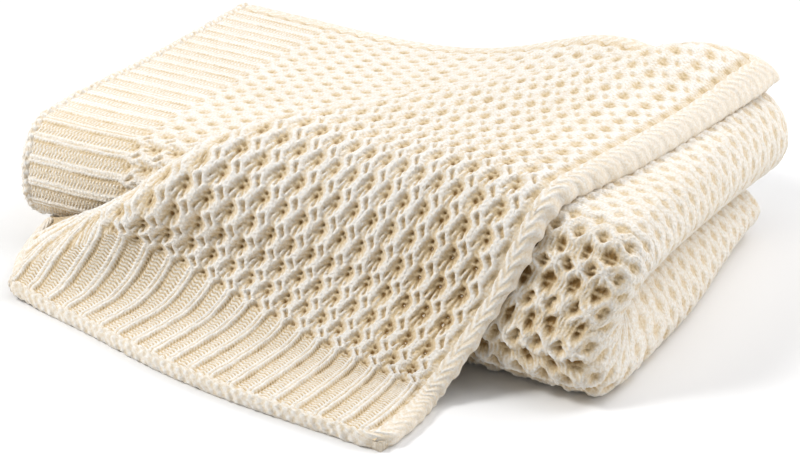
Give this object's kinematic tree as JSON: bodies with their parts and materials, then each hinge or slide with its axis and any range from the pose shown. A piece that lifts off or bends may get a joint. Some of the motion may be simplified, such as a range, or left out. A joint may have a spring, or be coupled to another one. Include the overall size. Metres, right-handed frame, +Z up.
{
  "type": "folded knitted throw",
  "caption": "Chunky cream knitted throw with ribbed borders, folded into a flat bundle with one corner turned down over the front onto the floor.",
  "frame": {"origin": "under the middle of the folded throw's box, on the surface that it rests on", "axes": "+X along the wales towards the closed folds, +Y towards the back, +Z up; the turned-down corner lies towards -Y"},
  "size_m": [0.511, 0.4682, 0.15],
  "materials": {
    "knit": "chunky cream knit, matt and soft"
  },
  "bodies": {
    "root": {"knitted_throw": "knit"}
  },
  "joints": []
}
